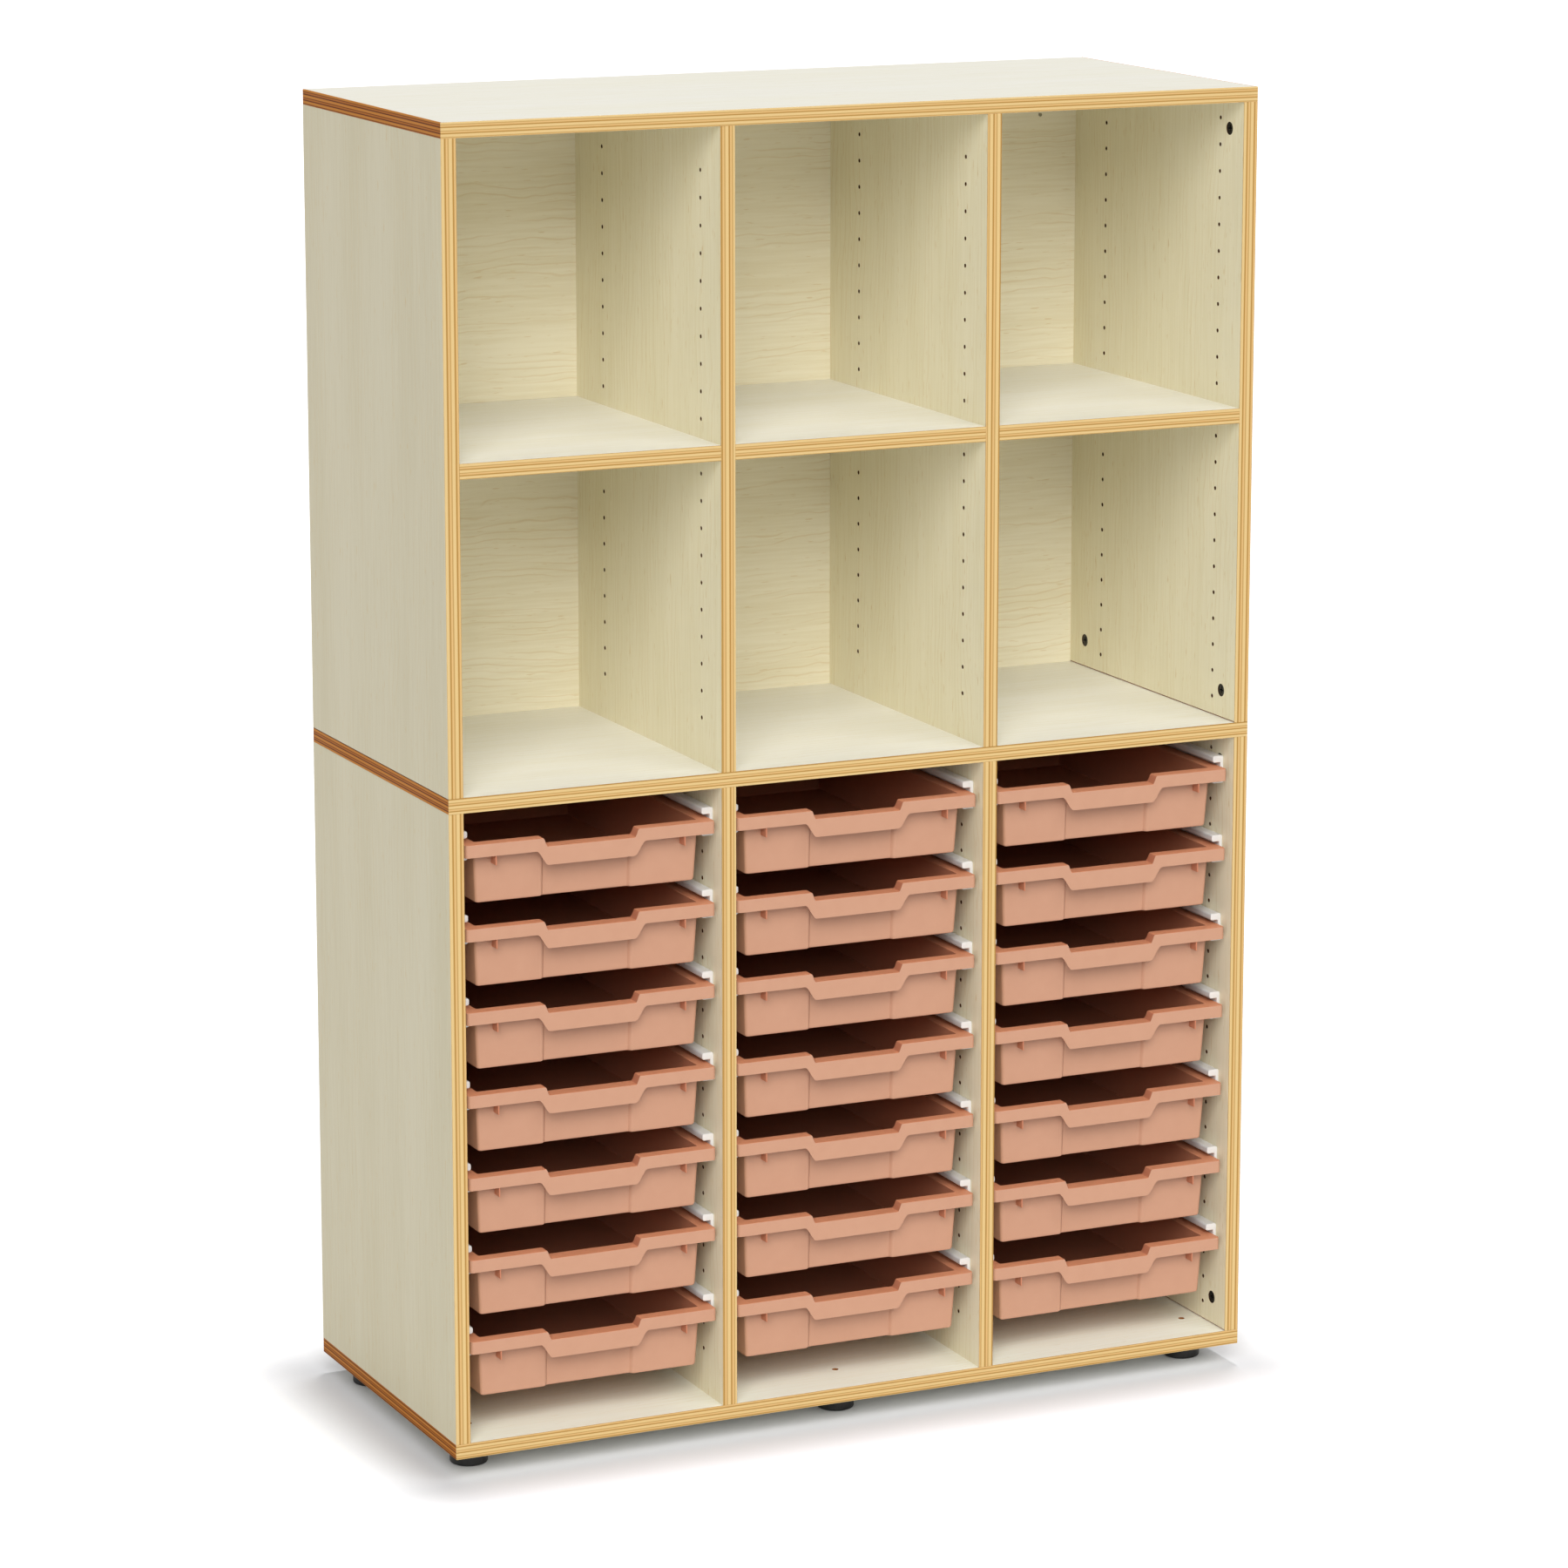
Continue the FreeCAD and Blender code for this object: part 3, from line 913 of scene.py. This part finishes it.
def give_wall(tray, low):
    """Eases the sheet's upper edges and gives the sheet its wall, towards the inside of the plastic."""
    lowest_bend = low.z + 0.02
    level_within = 0.004
    bent = math.radians(60)

    def floor_facing_down(face):
        return face.calc_center_median().z < low.z + tray_wall + hair and face.normal.z < -0.9

    def upper_bend(edge):
        first, second = (v.co.z for v in edge.verts)
        if edge.is_boundary or len(edge.link_faces) != 2:
            return False
        return edge.calc_face_angle(0) > bent and first > lowest_bend and abs(first - second) < level_within
    bpy.ops.mesh.select_all(action="SELECT")
    bpy.ops.mesh.normals_make_consistent(inside=False)
    bpy.ops.mesh.select_mode(type="FACE")
    choose(tray, "faces", floor_facing_down)
    if any(f.select for f in bmesh.from_edit_mesh(tray.data).faces):
        bpy.ops.mesh.select_all(action="SELECT")
        bpy.ops.mesh.flip_normals()
    bpy.ops.mesh.select_mode(type="EDGE")
    choose(tray, "edges", upper_bend)
    bpy.ops.mesh.bevel(offset=soft_edge, segments=2, affect="EDGES")
    rest_selection()
    apply_modifier(tray, "SOLIDIFY", thickness=tray_wall, offset=-1, use_even_offset=True,
                   use_quality_normals=True)


def front_rib(x, low, high):
    """One thin rib under the rim, from the skirt to the front wall."""
    rib = new_block("rib", (x - rib_thickness / 2, low.y + tray_wall / 2, high.z - rib_height),
                    (x + rib_thickness / 2, low.y + front_top_width - rib_ease, high.z - tray_wall / 2))
    apply_modifier(rib, "BEVEL", width=rib_ease, segments=1, limit_method="ANGLE")
    # The rib takes the deeper copy of the plastic: painted shade.
    finish_with(rib, tray_inside_painted_shade)
    return rib


def paint_tray_light_and_shade(tray, low, high):
    """Paints the rim's top with the brighter copy of the plastic and the faces turned inwards or up with the
    deeper one: painted light and painted shade.
    """
    centre = (low + high) / 2
    tray.data.materials.append(tray_rim_top_painted_light)
    lowest_rim_top = high.z - handle_dip - tray_wall / 2
    for face in tray.data.polygons:
        faces_up = face.normal.z > 0.8
        # above nought where the face looks towards the tray's middle
        inward = (centre.x - face.center.x) * face.normal.x + (centre.y - face.center.y) * face.normal.y
        if faces_up and face.center.z > lowest_rim_top:
            face.material_index = 2
        elif faces_up or inward > 0.01:
            face.material_index = 1


def model_tray(low, high):
    """One tray filling low to high: a sheet shaped as the outer skin, then given its wall and ribs."""
    centre = (low + high) / 2
    tray = rim_sheet(low, high)
    draw_well(tray, low, high)
    drop_skirt(tray)
    shape_handle(tray, low, high)
    give_wall(tray, low)
    finish_with(tray, tray_salmon)
    ribs = [front_rib(centre.x + side * rib_from_middle, low, high) for side in (-1, 1)]
    tray = join([tray] + ribs, "tray")
    smooth(tray)
    paint_tray_light_and_shade(tray, low, high)
    return tray


first_low, first_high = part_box("tray_left_1")
tray_model = model_tray(first_low, first_high)
for bay in ("left", "centre", "right"):
    for row in range(tray_rows):
        node = "tray_" + bay + "_" + str(row + 1)
        low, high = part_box(node)
        piece = copy_moved(tray_model, node + "_moulded", low - first_low)
        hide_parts(node)
        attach(piece, node)
rest_selection()
tray_model.select_set(True)
bpy.ops.object.delete()

# ---------------------------------------------------------------------------------------------
# The levelling feet: a black moulded pad on a steel screw with a socket for the key, which is
# put in from inside the cabinet through the hole above each foot.
pad_radius = 0.0225
pad_height = 0.018
pad_ease = 0.0025
collar_radius = 0.010
collar_height = 0.003
screw_radius = 0.004
socket_radius = 0.0022
socket_depth = 0.004
foot_ease = 0.0006

foot_black = speckled("black foot plastic", srgb(20, 20, 20), srgb(34, 33, 32),
                      grains_per_metre=300, rough=0.5, relief=0.15)
screw_steel = speckled("zinc-plated steel", srgb(150, 148, 142), srgb(186, 184, 178),
                       grains_per_metre=500, rough=0.35, relief=0.1, metallic=1.0)


def grow_up(foot, top_z, radius_now, radius, rise):
    """From the top face, steps in to a new radius and rises."""
    choose(foot, "faces", lambda f: f.normal.z > 0.9 and abs(f.calc_center_median().z - top_z) < hair)
    bpy.ops.mesh.inset(thickness=radius_now - radius, depth=0)
    bpy.ops.mesh.extrude_region_move(TRANSFORM_OT_translate={"value": (0, 0, rise)})
    bpy.ops.mesh.select_all(action="DESELECT")


def model_foot(low, high):
    """One foot, filling low to high."""
    centre = ((low.x + high.x) / 2, (low.y + high.y) / 2)
    foot = new_rod("foot", pad_radius, pad_height, (*centre, pad_height / 2), (0, 0, 0), sides=48)
    edit(foot, "FACE")
    grow_up(foot, pad_height, pad_radius, collar_radius, collar_height)
    collar_top = pad_height + collar_height
    grow_up(foot, collar_top, collar_radius, screw_radius, high.z - collar_top)
    grow_up(foot, high.z, screw_radius, socket_radius, -socket_depth)
    bpy.ops.mesh.select_mode(type="EDGE")
    choose(foot, "edges", lambda e: all(v.co.z < hair for v in e.verts))
    bpy.ops.mesh.bevel(offset=pad_ease, segments=4, affect="EDGES")
    bpy.ops.mesh.select_all(action="DESELECT")
    rest_selection()
    apply_modifier(foot, "BEVEL", width=foot_ease, segments=2, limit_method="ANGLE", angle_limit=sharp)
    smooth(foot)
    finish_with(foot, foot_black, screw_steel)
    for face in foot.data.polygons:
        reach = (Vector((face.center.x, face.center.y)) - Vector(centre)).length
        face.material_index = int(reach < screw_radius + 5 * hair and face.center.z > pad_height)
    return foot


for name in foot_names:
    node = "foot_" + name
    piece = model_foot(*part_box(node))
    piece.name = node + "_moulded"
    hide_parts(node)
    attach(piece, node)

# ---------------------------------------------------------------------------------------------
# The studio: a pale floor that runs to white, an even white fill all round, two broad soft lights
# before the cabinet and a smaller one overhead, and the camera to the left of the cabinet.
floor_size = 120
glow_distance = 0.16              # beyond the cabinet, where the floor has run to white
glow_strength = 0.55
fill_strength = 0.20              # of the light from all round
backdrop_strength = 0.80          # more of it, for what the camera sees
camera_tilt = 11.25               # degrees below level
camera_turn = 24.857              # degrees to the right

rest_selection()
bpy.ops.mesh.primitive_plane_add(size=floor_size, location=(0, 0, 0))
floor = bpy.context.object
floor.name = "studio_floor"
floor_white = bpy.data.materials.new("studio floor")
floor_white.use_nodes = True
tree = floor_white.node_tree
shader = tree.nodes["Principled BSDF"]
# The floor's slight blue is painted to cancel the warm light bounced onto it from the cabinet.
shader.inputs["Base Color"].default_value = (0.76, 0.76, 0.78, 1)
shader.inputs["Roughness"].default_value = 0.9
shader.inputs["Specular IOR Level"].default_value = 0.0
# The glow, seen only by camera and glossy rays, is nought at the cabinet's outline and full beyond
# glow_distance, so the floor near the base is painted darker: painted shade around the cabinet, added to its
# real shadow.
glow = place(tree, "ShaderNodeEmission")
where = place(tree, "ShaderNodeTexCoord")
unsigned = place(tree, "ShaderNodeVectorMath", operation="ABSOLUTE")
outside = place(tree, "ShaderNodeVectorMath", operation="SUBTRACT")
outside.inputs[1].default_value = (solids_high.x, solids_high.y, 0)
clear = place(tree, "ShaderNodeVectorMath", operation="MAXIMUM")
distance = place(tree, "ShaderNodeVectorMath", operation="LENGTH")
rise = place(tree, "ShaderNodeMapRange", interpolation_type="SMOOTHSTEP")
rise.inputs["From Max"].default_value = glow_distance
rise.inputs["To Min"].default_value = 0.0
rise.inputs["To Max"].default_value = glow_strength
tree.links.new(where.outputs["Object"], unsigned.inputs[0])
tree.links.new(unsigned.outputs[0], outside.inputs[0])
tree.links.new(outside.outputs[0], clear.inputs[0])
tree.links.new(clear.outputs[0], distance.inputs[0])
tree.links.new(distance.outputs["Value"], rise.inputs["Value"])
rays = place(tree, "ShaderNodeLightPath")
seen = place(tree, "ShaderNodeMath", operation="MAXIMUM")
tree.links.new(rays.outputs["Is Camera Ray"], seen.inputs[0])
tree.links.new(rays.outputs["Is Glossy Ray"], seen.inputs[1])
strength = place(tree, "ShaderNodeMath", operation="MULTIPLY")
tree.links.new(rise.outputs["Result"], strength.inputs[1])
tree.links.new(seen.outputs[0], strength.inputs[0])
tree.links.new(strength.outputs[0], glow.inputs["Strength"])
both = place(tree, "ShaderNodeAddShader")
tree.links.new(shader.outputs["BSDF"], both.inputs[0])
tree.links.new(glow.outputs["Emission"], both.inputs[1])
tree.links.new(both.outputs["Shader"], tree.nodes["Material Output"].inputs["Surface"])
floor.data.materials.append(floor_white)

world = bpy.data.worlds.new("studio")
bpy.context.scene.world = world
world.use_nodes = True
tree = world.node_tree
fill = tree.nodes["Background"]
fill.inputs["Color"].default_value = (1.0, 0.99, 0.97, 1)
rays = place(tree, "ShaderNodeLightPath")
white = place(tree, "ShaderNodeMath", operation="MULTIPLY_ADD")
white.inputs[1].default_value = backdrop_strength
white.inputs[2].default_value = fill_strength
tree.links.new(rays.outputs["Is Camera Ray"], white.inputs[0])
tree.links.new(white.outputs[0], fill.inputs["Strength"])


def far_light(name, strength, spread, towards):
    """A distant lamp shining one way; a wide spread, in degrees, softens its shadows."""
    lamp = bpy.data.lights.new(name, "SUN")
    lamp.energy = strength
    lamp.angle = math.radians(spread)
    light = bpy.data.objects.new(name, lamp)
    bpy.context.scene.collection.objects.link(light)
    light.rotation_euler = Vector(towards).to_track_quat("-Z", "Y").to_euler()


far_light("front softbox", strength=2.45, spread=40, towards=(0.345, 0.775, -0.53))
far_light("right softbox", strength=0.80, spread=35, towards=(-0.32, 0.56, -0.77))
far_light("overhead softbox", strength=0.92, spread=4, towards=(-0.06, -0.06, -1.58))

camera = bpy.data.cameras.new("camera")
camera.sensor_width = 36
camera.lens = 128.52
camera.shift_y = -0.07
camera.clip_end = 200
viewpoint = bpy.data.objects.new("camera", camera)
viewpoint.location = (-2.7802, -6.0083, 2.1925)
viewpoint.rotation_euler = (math.radians(90 - camera_tilt), 0, math.radians(-camera_turn))
bpy.context.scene.collection.objects.link(viewpoint)
bpy.context.scene.camera = viewpoint
bpy.context.scene.view_settings.view_transform = "Standard"
